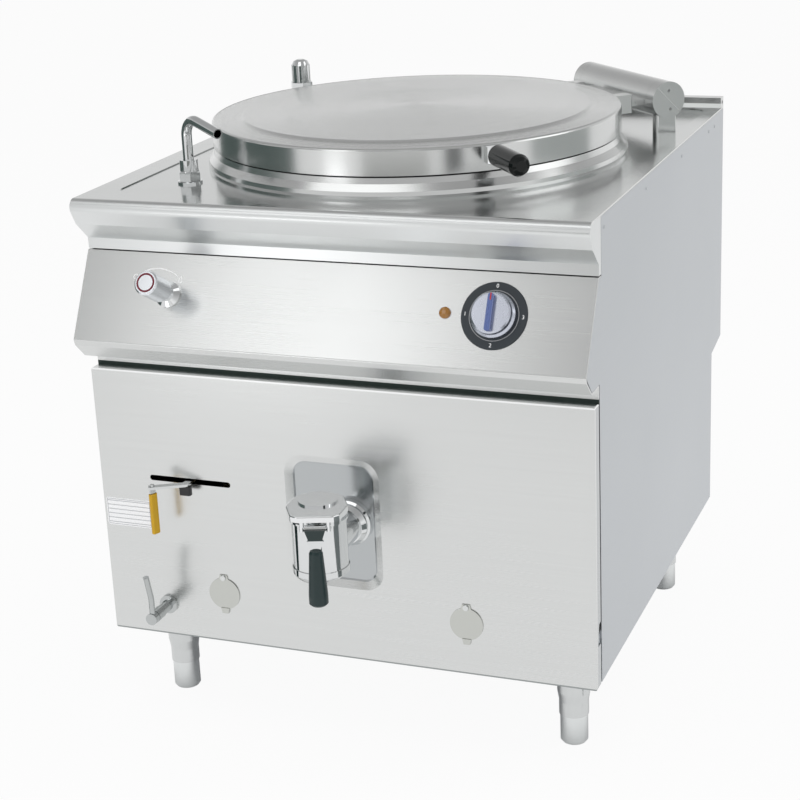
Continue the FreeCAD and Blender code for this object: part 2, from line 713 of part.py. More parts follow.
# Filling spout: hexagon base and a swan neck that swivels
spout_x, spout_y = -size("spout_across"), behind(size("spout_back"))
tube_r = size("spout_radius")
base = turned("spout_base", [
    (tube_r + running, -24), (10, -24), (10, 0), (19, 0), (19, 3), (15, 4), (15, 18), (14, 19),
    (14, 36), (tube_r + running, 36)], spout_x, spout_y, deck)
pad(base, disc(hexagon(sketch(base, "XY", 4), 31), 14.5), 14)
spout = body("spout_tube")
outlet = size("spout_rise") + 1.5
neck = path(sketch(spout), [(0, -20), (0, outlet + 18), (size("spout_reach"), outlet)], 25)
sweep(spout, disc(disc(sketch(spout, "XY", -20), tube_r), tube_r - 1.5), neck)
put(spout, spout_x, spout_y, deck, Z_AXIS, -30)

# Water valve of the filling spout on the fascia
slope = size("dial_slope")
water = fascia(-size("water_across"), slope)
valve = turned("water_valve", [
    (0, -46), (15, -46), (15, -20), (10, -18), (10, 0.3), (20, 0.3), (20, 4), (12, 8), (12, 16), (4, 16),
    (4, 4), (0, 4)], *water, X_AXIS, lean)
wr = size("water_radius")
turned("water_knob", [
    (0, 5), (4 - running, 5), (4 - running, 17), (13, 17), (13, 24), (wr, 30), (wr, 74), (wr - 2, 76),
    (wr - 4, 76), (wr - 4, 75), (wr - 7, 75), (wr - 7, 76), (0, 76)], *water, X_AXIS, lean)
turned("water_knob_ring", [
    (wr - 6.8, 75.2), (wr - 4.2, 75.2), (wr - 4.2, 76.4), (wr - 6.8, 76.4)], *water, X_AXIS, lean)
water_pipe = body("water_pipe")
pipe_start = 50.2
pipe_side = size("water_across") - size("spout_across")
pipe_run = span_of(pipe_side, size("spout_back") - pipe_start)
pipe_turn = turn_of(pipe_side, size("spout_back") - pipe_start)
spine = path(sketch(water_pipe), [
    (0, lip_z + 60), (0, lip_z), (pipe_run, lip_z), (pipe_run, deck - 24 - clear)], 18)
sweep(water_pipe, disc(disc(sketch(water_pipe, "XY", lip_z + 60), 6), 4.8), spine)
put(water_pipe, water[0], behind(pipe_start), 0, Z_AXIS, pipe_turn)

# Heat selector: black dial plate, knob and the rotary switch behind
dial = fascia(size("dial_across"), slope)
turned("dial_plate", [(8, 0.3), (size("dial_radius"), 0.3), (size("dial_radius") - 1, 1.8), (8, 1.8)],
       *dial, X_AXIS, lean)
kr = size("knob_radius")
knob = turned("heat_knob", [
    (0, -18), (4 - running, -18), (4 - running, 2.1), (kr, 2.1), (kr, 9), (kr - 3, 13), (kr - 3.6, 19),
    (kr - 6, 21), (0, 21)], *dial, X_AXIS, lean)
pad(knob, rounded(sketch(knob, "XY", 20.5), 9, 2 * kr - 12, 4.2), 7)
switch = body("heat_switch")
pad(switch, disc(rounded(sketch(switch, "XY", -56), 58, 58, 6), 4), 52)
put(switch, *dial, X_AXIS, lean)

# Pilot lamp: amber lens on its own holder, pushed through the fascia
lamp = fascia(size("lamp_across"), slope)
turned("pilot_lamp", [
    (0, -26), (5.5, -26), (5.5, 0.3), (8.5, 0.3), (8.5, 2), (6.5, 4.5), (3, 6), (0, 6)], *lamp, X_AXIS, lean)

# Contactor on the right side panel
contactor = body("contactor")
case_x, case_z = half - wall - clear, chin_z - 127
block = sketch(contactor, "XZ", -behind(62))
outline(block, [(half - 62, case_z), (case_x, case_z), (case_x, case_z + 90), (half - 62, case_z + 90)])
pad(contactor, block, 46, back=True)
ways = cut(contactor, rounded(sketch(contactor, "XZ", -behind(62)), 9, 10, 1, half - 50, case_z + 76), 8)
row = contactor.newObject("PartDesign::LinearPattern", "row")
row.Originals = [ways]
row.Direction = (ways.Profile[0], ["H_Axis"])
row.Length = 36
row.Occurrences = 3
contactor.Tip = row

# Drain: tube from the vessel through the jacket, nut, tap body, plug, cap and lever
drain = body("drain_tube")
tube = disc(disc(sketch(drain, "XZ", 0), 23), 20)
pad(drain, tube, kettle_back - 255, back=True)
cut(drain, disc(sketch(drain, "XY", 0), r + 1, -tap_across, kettle_back + 17), None, middle=True)
put(drain, tap_across, behind(-17), tap_height)
turned("tap_nut", [
    (23 + clear, 0), (36, 0), (36, 10), (33, 13), (33, 17), (28, 24), (23 + clear, 24)],
    tap_across, behind(deep - clear), tap_height, X_AXIS, 90)

tr = size("tap_radius")
bore = 27
tap = turned("tap_body", [
    (bore, -36), (tr - 7, -36), (tr - 1, -31), (tr + 1, -29), (tr + 1, -20), (tr - 0.5, -19),
    (tr - 0.5, 51), (tr + 2, 52), (tr + 2, 64), (bore, 64)], tap_across, behind(-tap_out), tap_height)
pad(tap, disc(sketch(tap, "XZ", -28), 26), tap_out - 17.3 - 28 - clear, back=True)
cut(tap, disc(sketch(tap, "XZ", -20), 20), tap_out)
cut(tap, disc(sketch(tap, "XY", -60), bore), 130, back=True)
bayonet = cut(tap, rounded(sketch(tap, "XY", 55), 7, 26, 2, tr, 0), 5, back=True)
polar(tap, [bayonet], 6, bayonet.Profile[0])

plug = turned("tap_plug", [
    (20, -30), (bore - running, -30), (bore - running, 67), (0, 67), (0, 34), (20, 34)],
    tap_across, behind(-tap_out), tap_height)
cut(plug, disc(sketch(plug, "YZ", 0), 17), 60, back=True)

# The cap and its lever stand turned a little to the right
grip_turn = 18
hinge_out, hinge_up = size("grip_out") - 8, 57
beak = hinge_out + 6
cap = body("tap_cap")
shape = outline(sketch(cap, "XY", 67 + clear), [
    (-tr - 4, -14), (-36, 8 - beak), (-26, -beak), (26, -beak), (36, 8 - beak), (tr + 4, -14),
    (36, 22), (20, 36), (-20, 36), (-36, 22)])
pad(cap, shape, 9)
fillet(cap, edges(cap, lambda m, e: e.BoundBox.ZLength > 8), 7)
fillet(cap, edges(cap, lambda m, e: e.BoundBox.ZLength < 0.1 and m.z > 75), 2)
pad(cap, disc(sketch(cap, "XY", 74), 29, 0, 4), 5)
pad(cap, disc(disc(sketch(cap, "XY", hinge_up - 5), 3.4, -19, -hinge_out), 3.4, 19, -hinge_out), 17)
cut(cap, disc(sketch(cap, "YZ", 0), 2 + running, -hinge_out, hinge_up), 60, middle=True)
put(cap, tap_across, behind(-tap_out), tap_height, Z_AXIS, grip_turn)

lever = body("tap_lever")
wedge = outline(sketch(lever, "XZ", hinge_out + 3.8), [
    (-15, hinge_up - 1), (15, hinge_up - 1), (10, 41), (12, 39), (7, 27), (5, 26), (5, 14),
    (-5, 14), (-5, 26), (-7, 27), (-12, 39), (-10, 41)])
pad(lever, wedge, 5)
pad(lever, disc(sketch(lever, "YZ"), 4.5, -hinge_out, hinge_up), 30.6, middle=True)
pad(lever, disc(sketch(lever, "YZ"), 2, -hinge_out, hinge_up), 46, middle=True)
put(lever, tap_across, behind(-tap_out), tap_height, Z_AXIS, grip_turn)
gr = size("grip_radius")
grip = body("tap_grip")
section = sketch(grip)
outline(section, [
    (0, -58), (gr - 3, -58), (gr, -55), (gr, -42), (gr - 4, 22), (gr - 6, 26 - clear), (0, 26 - clear)])
section.AttachmentOffset = Placement(Vector(0, 0, size("grip_out")), Rotation())
bind(section, "AttachmentOffset.Base.z", size("grip_out"))
spin(grip, section)
socket = sketch(grip, "XZ", hinge_out + 3.8 - clear)
outline(socket, [(-5 - clear, 14 - clear), (5 + clear, 14 - clear), (5 + clear, 60), (-5 - clear, 60)])
cut(grip, socket, 5 + 2 * clear, back=False).Reversed = True
put(grip, tap_across, behind(-tap_out), tap_height, Z_AXIS, grip_turn)

# Jacket valve behind the slot: valve with a branch to the jacket, lever, block and yellow sleeve
stem_back = 116
valve_x, valve_y = -size("slot_across"), behind(stem_back)
valve_off = span_of(size("slot_across"), kettle_back - stem_back)
valve_turn = turn_of(size("slot_across"), kettle_back - stem_back) - 90
stem_z = size("slot_height") - 2
jacket_valve = body("jacket_valve")
pad(jacket_valve, disc(sketch(jacket_valve, "YZ"), 15, 0, -22), 62, middle=True)
pad(jacket_valve, hexagon(sketch(jacket_valve, "YZ", 22), 30, 0, -22), 12)
pad(jacket_valve, hexagon(sketch(jacket_valve, "YZ", -34), 30, 0, -22), 12)
pad(jacket_valve, disc(sketch(jacket_valve, "XY", -22), 8), 22 - clear)
branch = valve_off - jr - 1 - size("wool_thick") - clear
pad(jacket_valve, disc(sketch(jacket_valve), 11, 0, -22), branch, back=True)
cut(jacket_valve, disc(sketch(jacket_valve, "YZ"), 9, 0, -22), 90, middle=True)
put(jacket_valve, valve_x, valve_y, stem_z, Z_AXIS, valve_turn)
bar = body("lever_bar")
elbow = stem_back + 15
arm = outline(sketch(bar, "XY"), [
    (5.5, 10), (5.5, -elbow - 3.3), (-47.4, -elbow - 31.8),
    (-52.6, -elbow - 22.2), (-5.5, -elbow + 3.3), (-5.5, 10)])
pad(bar, arm, 4)
tab_x, tab_y, tab_turn = -44.7, -elbow - 24.2, -24
tab = outline(sketch(bar, "XY", -24), [
    (tab_x + 3.4, tab_y + 4), (tab_x + 0.7, tab_y + 5.2),
    (tab_x - 3.4, tab_y - 4), (tab_x - 0.7, tab_y - 5.2)])
pad(bar, tab, 26)
pad(bar, disc(sketch(bar, "XY", 3), 3.5, tab_x, tab_y), 4)
put(bar, valve_x, valve_y, stem_z)
lever_block = body("lever_socket")
pad(lever_block, rounded(sketch(lever_block, "XY", -14), 19, 10, 3, 0, -elbow - 1), 14 - clear)
put(lever_block, valve_x, valve_y, stem_z)
sleeve_piece = body("lever_sleeve")
pad(sleeve_piece, rounded(sketch(sleeve_piece, "XY", -74), 7, 14, 3.3), 66)
fillet(sleeve_piece, edges(sleeve_piece, lambda m, e: abs(m.z + 74) < 0.1), 2)
cut(sleeve_piece, rounded(sketch(sleeve_piece, "XY", -8), 3.6, 11.6, 0.4), 16 + clear)
put(sleeve_piece, valve_x + tab_x, valve_y + tab_y, stem_z, Z_AXIS, tab_turn)

# Level cock: body through the panel and a handle on its front
cock_x, cock_z = -size("cock_across"), size("cock_height")
turned("cock_body", [
    (0, -30), (8, -30), (8, 0.3), (15, 0.3), (15, 5), (9, 6), (9, 30), (10, 31), (10, 50), (0, 50)],
    cock_x, front, cock_z, X_AXIS, 90)
handle = turned("cock_handle", [(0, 50 + clear), (9.4, 50 + clear), (9.4, 62), (0, 62)],
                cock_x, front, cock_z, X_AXIS, 90)
rod = path(sketch(handle, "YZ"), [(2, 56), (34, 56), (74, 66)], 20)
sweep(handle, disc(sketch(handle, "XZ", -2), 4.6, 0, 56), rod)

# Swing covers over the two service holes, with their screws
cr = size("cover_radius")
covers = []
for name, side in (("cover_left", -1), ("cover_right", 1)):
    cover = body(name)
    plate = sketch(cover, "XZ", clear)
    disc(plate, cr, 0, -27)
    pad(cover, plate, 1.6)
    lug = sketch(cover, "XZ", clear)
    outline(lug, [(-9, -6), (-6, 5), (6, 5), (9, -6)])
    pad(cover, lug, 1.6)
    lift_tab = sketch(cover, "XZ", clear)
    outline(lift_tab, [(-7, -25 - cr), (7, -25 - cr), (5, -34 - cr), (-5, -34 - cr)])
    pad(cover, lift_tab, 3)
    cut(cover, disc(sketch(cover, "XZ"), 2.2 + running), 10, middle=True)
    put(cover, side * size("cover_across"), front, size("cover_height") + 27)
    screw = turned("cover_screw" + name[5:], [
        (0, -6), (2.2, -6), (2.2, 1.6 + 2 * clear), (5, 1.6 + 2 * clear), (4.4, 4), (0, 4.6)],
        side * size("cover_across"), front, size("cover_height") + 27, X_AXIS, 90)
    covers.append(screw)


group("cover_screws", covers)

# Lid: outer skin, liner, gasket, handle and the arm to the hinge
lid_z = rim_height + 3
lr, skirt = lid_radius, size("lid_skirt")
dome = size("lid_dome")
border, step, rise = skirt + dome * 0.22, skirt + dome * 0.52, skirt + dome * 0.88
turned("lid_skin", [
    (lr, 0), (lr, skirt - 3), (lr - 1, skirt - 1), (lr - 3, skirt), (lr - 4.5, skirt - 0.8),
    (lr - 6, skirt), (lr - 46, border), (lr - 50, step), (lr - 180, rise), (0, skirt + dome),
    (0, skirt + dome - 2), (lr - 180, rise - 2), (lr - 51, step - 2), (lr - 47, border - 2),
    (lr - 4, skirt - 3), (lr - 2, skirt - 5), (lr - 2, 0)], 0, kettle_y, lid_z)
turned("lid_liner", [
    (0, 8), (r - 8, 8), (r, 2), (lr - 2 - clear, 2), (lr - 2 - clear, 4), (r + 1, 4), (r - 7, 10), (0, 10)],
    0, kettle_y, lid_z)
turned("lid_gasket", [
    (r + 3, -2.6), (r + 11, -2.6), (r + 12, 2 - clear), (r + 2, 2 - clear)], 0, kettle_y, lid_z)
handle_turn = -50
mount = body("lid_handle_bracket")
mount_low = 13
shoe = sketch(mount, "XY", mount_low)
outline(shoe, [(lr - 20, -13), (lr + 14, -13), (lr + 19, -8), (lr + 19, 8), (lr + 14, 13), (lr - 20, 13)])
pad(mount, shoe, 24)
cut(mount, disc(sketch(mount, "XY", 0), lr + clear), 60, back=True)
pad(mount, disc(sketch(mount, "YZ", lr + 10), 7, 0, mount_low + 12), 24)
put(mount, 0, kettle_y, lid_z, Z_AXIS, handle_turn)
hand = body("lid_grip")
section = sketch(hand, "XY", mount_low + 12)
outline(section, [
    (lr + 19 + clear, 7 + clear), (lr + 19 + clear, 13), (lr + 23, 16), (lr + 100, 16), (lr + 107, 13),
    (lr + 109, 8), (lr + 109, 0), (lr + 34 + clear, 0), (lr + 34 + clear, 7 + clear)])
spin(hand, section, axis="H_Axis")
put(hand, 0, kettle_y, lid_z, Z_AXIS, handle_turn)

# Hinge across the rear right corner: two posts with a pin, the turning tube and the lid arm
near_end, far_end = size("hinge_near"), size("hinge_far")
head, hr = size("hinge_head"), size("hinge_radius")
reach = lid_radius + hr + size("hinge_space")
hz = top_height + size("hinge_rise")
hinge_turn = 45
hinge = body("hinge_posts")
stands = sketch(hinge, "XY", deck)
set_back = 6
rounded(stands, 38, head - set_back - 0.5, 4, reach, (head + set_back) / 2 - near_end)
rounded(stands, 38, head - set_back - 0.5, 4, reach, far_end - (head + set_back) / 2)
pad(hinge, stands, hz - 12 - deck)
pad(hinge, disc(sketch(hinge, "XZ", near_end - head), hr, reach, hz), head)
pad(hinge, disc(sketch(hinge, "XZ", -far_end), hr, reach, hz), head)
pin = disc(sketch(hinge, "XZ", -far_end + 2), 8, reach, hz)
pad(hinge, pin, near_end + far_end - 4)
eyes = sketch(hinge, "XZ", near_end)
disc(disc(eyes, 2.6, reach, hz + 15), 2.6, reach + 3, hz - 15)
cut(hinge, eyes, 7)
line = outline(sketch(hinge, "XZ", near_end), [
    (reach - 21, hz + 19.5), (reach + 19.5, hz - 21), (reach + 21, hz - 19.5), (reach - 19.5, hz + 21)])
cut(hinge, line, 1.4)
put(hinge, 0, kettle_y, 0, Z_AXIS, hinge_turn)
tube_start = near_end - head - clear
tube_long = near_end + far_end - 2 * (head + clear)
cross = cosine(hinge_turn)
turned("hinge_tube", [
    (8 + running, 0), (hr, 0), (hr, tube_long), (8 + running, tube_long), (8 + running, tube_long - 9),
    (hr - 3, tube_long - 9), (hr - 3, 9), (8 + running, 9)],
    cross * (reach + tube_start), kettle_y + cross * (reach - tube_start), hz, Vector(-1, -1, 0), 90)
arm = body("lid_arm")
shelf = sketch(arm, "XY", hz - 8)
outline(shelf, [(lr - 60, -92), (reach, -84), (reach, 84), (lr - 60, 92)])
pad(arm, shelf, 9)
blocks = sketch(arm, "XY", hz - 18)
rounded(blocks, 46, 22, 3, lr - 3, -78)
rounded(blocks, 46, 22, 3, lr - 3, 78)
pad(arm, blocks, 30)
cut(arm, disc(sketch(arm, "XY", hz - 30), lr + clear), 60, back=True)
cut(arm, disc(sketch(arm, "XZ"), hr + clear, reach, hz), near_end + far_end, middle=True)
put(arm, 0, kettle_y, 0, Z_AXIS, hinge_turn)

# Rivets at the top of the side panels
rivets = []
for side in (-1, 1):
    for back in rivet_row:
        rivets.append(turned("rivet", [(0, -3), (1.6, -3), (1.6, 0.1), (2.6, 0.1), (2, 0.9), (0, 1.2)],
                             side * half, back, rivet_z, Vector(0, 1, 0), side * 90))
group("side_rivets", rivets)

# Cable gland in the rear pipe recess
turned("cable_gland", [
    (0, -14), (12.5, -14), (12.5, 0.3), (19, 0.3), (19, 8), (16, 10),
    (16, 20), (13, 22), (9, 22), (9, 2), (0, 2)],
    gland_x, behind(floor_back), gland_z, X_AXIS, -90)

# Check every piece, then write one STEP file for each
doc.recompute()
for item in doc.Objects:
    if "Invalid" in item.State or "Error" in item.State:
        raise RuntimeError("%s is not solved: %s" % (item.Label, item.State))
for piece in parts:
    if piece.Shape.isNull() or not piece.Shape.isValid() or not piece.Shape.Solids:
        raise RuntimeError("%s has no good solid" % piece.Label)
os.makedirs("parts", exist_ok=True)
for piece in parts:
    piece.Shape.exportStep("parts/%s.step" % piece.Label)
    print(piece.Label, len(piece.Shape.Solids), round(piece.Shape.Volume / 1000, 1), "cm3")
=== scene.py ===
# %% [markdown]
# # Electric boiling kettle
# The solids of this kettle were built in a CAD program and packed as a fixed frame.
# Blender adds what a solid can't say: how sheet steel was ground, where plastic is
# grained, the marks printed round the controls, and the light of a studio.
# Nothing here moves or resizes a solid, so the box of the frame is kept for a check.

# %% load the frame
import math

import bmesh
import bpy
from mathutils import Matrix, Vector


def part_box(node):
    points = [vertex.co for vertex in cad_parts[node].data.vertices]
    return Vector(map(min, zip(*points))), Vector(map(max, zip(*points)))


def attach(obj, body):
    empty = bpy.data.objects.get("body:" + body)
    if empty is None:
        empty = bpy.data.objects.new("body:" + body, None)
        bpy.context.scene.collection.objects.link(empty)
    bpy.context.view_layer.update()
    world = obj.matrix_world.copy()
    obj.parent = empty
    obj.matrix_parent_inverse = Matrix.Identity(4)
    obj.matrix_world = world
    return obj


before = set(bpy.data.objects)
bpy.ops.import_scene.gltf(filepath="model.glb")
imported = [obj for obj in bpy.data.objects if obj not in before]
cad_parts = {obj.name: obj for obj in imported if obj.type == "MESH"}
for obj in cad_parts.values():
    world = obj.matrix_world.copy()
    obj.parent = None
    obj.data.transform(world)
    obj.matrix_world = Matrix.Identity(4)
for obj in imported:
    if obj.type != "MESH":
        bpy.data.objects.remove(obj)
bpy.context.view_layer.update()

# %% [markdown]
# ## The camera
# A product photograph is taken from far away with a long lens, which keeps the
# edges of a cabinet nearly parallel. The place, the two angles and the focal length
# came from matching known corners of the cabinet to the picture. Turning about Z,
# then X, then the line of sight is easier to read than one matrix of numbers.

# %% camera
SENSOR = 36.0
IMAGE = 800
FOCAL_PIXELS = 1879.4
EYE = Vector((1.0615, -2.7314, 1.4539))
PAN, DOWN, ROLL = 21.71, 18.92, -2.60

lens = bpy.data.cameras.new("camera")
lens.sensor_width = SENSOR
lens.lens = FOCAL_PIXELS * SENSOR / IMAGE
camera = bpy.data.objects.new("camera", lens)
bpy.context.scene.collection.objects.link(camera)
turns = [Matrix.Rotation(math.radians(angle), 4, axis)
         for angle, axis in ((PAN, "Z"), (90 - DOWN, "X"), (ROLL, "Z"))]
camera.matrix_world = Matrix.Translation(EYE) @ turns[0] @ turns[1] @ turns[2]
bpy.context.scene.camera = camera
print("focal length", round(lens.lens, 1), "mm")

# %% [markdown]
# ## Shader maths in plain Python
# A material is a graph of nodes. Wiring a graph by hand hides the idea behind it, so
# one small class wraps a socket and turns + - * / into Math nodes. The colour of a
# finish goes through a Mix node, because a Math node would turn it grey.

# %% socket maths
class Field:
    """One output of a shader graph. Arithmetic on it adds Math nodes."""

    def __init__(self, graph, node, socket):
        self.graph, self.node, self.socket = graph, node, socket

    def pick(self, name):
        """Another output of the same node."""
        return Field(self.graph, self.node, self.node.outputs[name])

    def maths(self, operation, *values, clamp=False):
        settings = {"operation": operation, "use_clamp": clamp}
        return self.graph.add("ShaderNodeMath", settings, *values)

    def __add__(self, other):
        return self.maths("ADD", self, other)

    def __radd__(self, other):
        return self.maths("ADD", other, self)

    def __sub__(self, other):
        return self.maths("SUBTRACT", self, other)

    def __rsub__(self, other):
        return self.maths("SUBTRACT", other, self)

    def __mul__(self, other):
        return self.maths("MULTIPLY", self, other)

    def __rmul__(self, other):
        return self.maths("MULTIPLY", other, self)

    def __truediv__(self, other):
        return self.maths("DIVIDE", self, other)

    def __pow__(self, other):
        return self.maths("POWER", self, other)

    def held(self):
        """The same value, clamped between 0 and 1."""
        return self.maths("MULTIPLY", self, 1.0, clamp=True)


class Graph:
    """The node tree of one material or of the world."""

    def __init__(self, owner):
        owner.use_nodes = True
        self.tree = owner.node_tree
        self.tree.nodes.clear()

    def feed(self, socket, value):
        """Links a field to a socket, or sets a constant on it."""
        if isinstance(value, Field):
            self.tree.links.new(value.socket, socket)
        else:
            socket.default_value = value

    def add(self, kind, settings=None, *values, **named):
        """Adds any node: its settings first, then what its sockets get, in order or by name."""
        node = self.tree.nodes.new(kind)
        for key, value in (settings or {}).items():
            if key == "stops":
                self.set_stops(node.color_ramp, value)
            else:
                setattr(node, key, value)
        for index, value in enumerate(values):
            self.feed(node.inputs[index], value)
        for name, value in named.items():
            label = name.replace("_", " ")
            socket = next(s for s in node.inputs if s.name == label and s.enabled)
            self.feed(socket, value)
        shown = [s for s in node.outputs if s.enabled]
        return Field(self, node, shown[0] if shown else None)

    def set_stops(self, ramp, stops):
        while len(ramp.elements) < len(stops):
            ramp.elements.new(0.5)
        for element, (place, level) in zip(ramp.elements, stops):
            element.position = place
            element.color = (level, level, level, 1)

    def place(self):
        return self.add("ShaderNodeTexCoord").pick("Object")

    def noise(self, where, scale, detail=2.0, rough=0.5):
        return self.add("ShaderNodeTexNoise", None, Vector=where, Scale=scale, Detail=detail,
                        Roughness=rough)

    def stretched(self, where, scale):
        return self.add("ShaderNodeMapping", None, Vector=where, Scale=scale)

    def blend(self, mask, first, second):
        return self.add("ShaderNodeMix", {"data_type": "RGBA"}, Factor=mask, A=first, B=second)

    def relief(self, height, strength, distance):
        """A normal that is bent as if the surface had this height."""
        return self.add("ShaderNodeBump", None, Strength=strength, Distance=distance, Height=height)


def rgba(red, green, blue):
    return (red, green, blue, 1)


def finished(graph, **sockets):
    """Closes a material with one Principled shader."""
    shader = graph.add("ShaderNodeBsdfPrincipled", None, **sockets)
    graph.add("ShaderNodeOutputMaterial", None, Surface=shader)


def band_mask(value, low, high, soft=4000.0):
    """1 between two values in metres, 0 outside. Each edge is 1 / soft metres wide."""
    return ((value - low) * soft).held() * ((high - value) * soft).held()


def patched(graph, where, colour, roughness, patches):
    """Lays patches over a finish. Each has an axis, its two ends along it, a tint and a roughness."""
    for axis, low, high, tint, rough in patches:
        mask = band_mask(graph.add("ShaderNodeSeparateXYZ", None, where).pick(axis), low, high)
        colour = graph.blend(mask, colour, rgba(*tint))
        roughness = roughness * (1 - mask) + rough * mask
    return colour, roughness


print("socket maths ready")

# %% [markdown]
# ## Ground steel
# Cabinet sheet is ground with a belt, so each panel carries long fine lines in one
# direction. A noise texture that is squeezed across the lines and stretched along
# them gives such a grain. It changes three things a little: how bright the metal is,
# how rough it is, and its height. Large soft clouds stand for handling and wiping.
# At a fold, a pressed recess or a gap, light and shade are painted into the tint.
# Such a place is a patch: it lies between two values of one coordinate and has its own
# tint: a painted highlight along the top fold, and painted shade on the bottom fold, in
# the recess and in the gap under the fascia.

# %% ground steel
STEEL = (0.755, 0.765, 0.760)
FINE, FINE_ALONG = 1500.0, 5.0
COARSE, COARSE_ALONG = 260.0, 2.0


def ground_steel(name, run, tint=STEEL, rough=0.26, depth=0.08, patches=()):
    """Steel with grinding lines along one axis: run is 0, 1 or 2 for X, Y or Z."""
    material = bpy.data.materials.new(name)
    graph = Graph(material)
    where = graph.place()
    fine_scale = tuple(FINE_ALONG if k == run else FINE for k in range(3))
    band_scale = tuple(COARSE_ALONG if k == run else COARSE for k in range(3))
    fine = graph.noise(graph.stretched(where, fine_scale), 1.0)
    bands = graph.noise(graph.stretched(where, band_scale), 1.0)
    clouds = graph.noise(where, 3.0, 3.0)
    lines = fine * 0.6 + bands * 0.4
    dark = rgba(*(0.94 * part for part in tint))
    colour = graph.blend((lines * 1.6 - 0.3).held(), dark, rgba(*tint))
    roughness = (lines - 0.5) * depth + (clouds - 0.5) * 0.08 + rough
    colour, roughness = patched(graph, where, colour, roughness, patches)
    finished(graph, Base_Color=colour, Metallic=1.0, Roughness=roughness,
             Normal=graph.relief(lines, 0.020, 0.0004))
    return material


# Patches: axis, from, to, tint, roughness
PANEL_FACE = -0.340
# Painted highlight: a nearly white band along the top fold of the front panel.
FOLD_HIGHLIGHT_TOP = ("Z", 0.5802, 0.60, (0.97, 0.98, 0.98), 0.20)
# Painted shade: a dark band along the bottom fold of the front panel.
FOLD_SHADE_BOTTOM = ("Z", 0.10, 0.1455, (0.34, 0.36, 0.36), 0.30)
# Painted shade: all that lies behind the panel face, inside the pressed recess, is darker.
HOLLOW_SHADE = ("Y", PANEL_FACE + 0.0055, 0.5, (0.50, 0.52, 0.53), 0.16)
# Painted shade: a near-black band in the gap under the fascia.
GAP_SHADE = ("Z", 0.5700, 0.5885, (0.045, 0.06, 0.055), 0.45)
front_steel = ground_steel("ground_steel_front", 0, patches=(HOLLOW_SHADE, FOLD_HIGHLIGHT_TOP, FOLD_SHADE_BOTTOM))
fascia_steel = ground_steel("ground_steel_fascia", 0, patches=(GAP_SHADE,))
rail_steel = ground_steel("ground_steel_rail", 0, rough=0.22)
cover_steel = ground_steel("ground_steel_cover", 2, (0.62, 0.63, 0.60), 0.22)
# Painted shade: the sides, the back, the base and the rivets are a darker, bluer copy of the same steel.
steel_shaded_sides = ground_steel("ground_steel_shaded_sides", 1, (0.60, 0.625, 0.65), 0.36)
leg_steel = ground_steel("ground_steel_leg", 2, (0.70, 0.715, 0.715), 0.20)
foot_steel = ground_steel("ground_steel_foot", 2, (0.80, 0.82, 0.82), 0.20)
inner_steel = ground_steel("ground_steel_inner", 0, (0.60, 0.61, 0.62), 0.38)
print("eight finishes of ground steel")

# %% [markdown]
# ## Polished and turned steel
# The deck and the collar are nearly a mirror, with only wiping marks on them. The
# nose under the deck is duller, as a patch. The lid was ground while it turned, so
# its lines are rings: the grain depends on the distance from the lid's middle and
# hardly on the angle. Its rim was polished afterwards.

# %% polished steel
LID_MIDDLE = (0.0, 0.062, 0.0)


def polished_steel(name, rough, tint=STEEL, marks=0.06, patches=()):
    """Nearly smooth metal with wiping marks and a few scratches along X."""
    material = bpy.data.materials.new(name)
    graph = Graph(material)
    where = graph.place()
    wiped = graph.noise(graph.stretched(where, (2.5, 9.0, 9.0)), 1.0, 4.0, 0.6)
    scratches = graph.noise(graph.stretched(where, (12.0, 900.0, 900.0)), 1.0)
    dark = rgba(*(0.88 * part for part in tint))
    colour = graph.blend((wiped * 1.4 - 0.2).held(), dark, rgba(*tint))
    roughness = (wiped - 0.5) * marks + (scratches - 0.5) * 0.05 + rough
    colour, roughness = patched(graph, where, colour, roughness, patches)
    finished(graph, Base_Color=colour, Metallic=1.0, Roughness=roughness,
             Normal=graph.relief(scratches, 0.04, 0.0002))
    return material


def turned_steel(name, middle, rough, tint=STEEL, rim_below=0.0):
    """Steel ground in rings about a vertical line through `middle`, polished under a height."""
    material = bpy.data.materials.new(name)
    graph = Graph(material)
    where = graph.add("ShaderNodeVectorMath", {"operation": "SUBTRACT"}, graph.place(), middle)
    parts = graph.add("ShaderNodeSeparateXYZ", None, where)
    across, along, height = (parts.pick(axis) for axis in "XYZ")
    radius = (across * across + along * along) ** 0.5
    spot = graph.add("ShaderNodeCombineXYZ", None, radius, height, 0.0)
    fine = graph.noise(graph.stretched(spot, (2200.0, 2200.0, 1.0)), 1.0)
    wide = graph.noise(graph.stretched(spot, (60.0, 60.0, 1.0)), 1.0)
    clouds = graph.noise(where, 5.0, 3.0)
    dark = rgba(*(0.90 * part for part in tint))
    colour = graph.blend((fine * 1.2 + wide * 0.3 - 0.25).held(), dark, rgba(*tint))
    roughness = (fine - 0.5) * 0.10 + (wide - 0.5) * 0.05 + (clouds - 0.5) * 0.06 + rough
    top = ((height - rim_below) * 800.0).held()
    roughness = roughness * top + (clouds * 0.08 + 0.16) * (1 - top)
    finished(graph, Base_Color=colour, Metallic=1.0, Roughness=roughness,
             Normal=graph.relief(fine * top, 0.35, 0.0010))
    return material


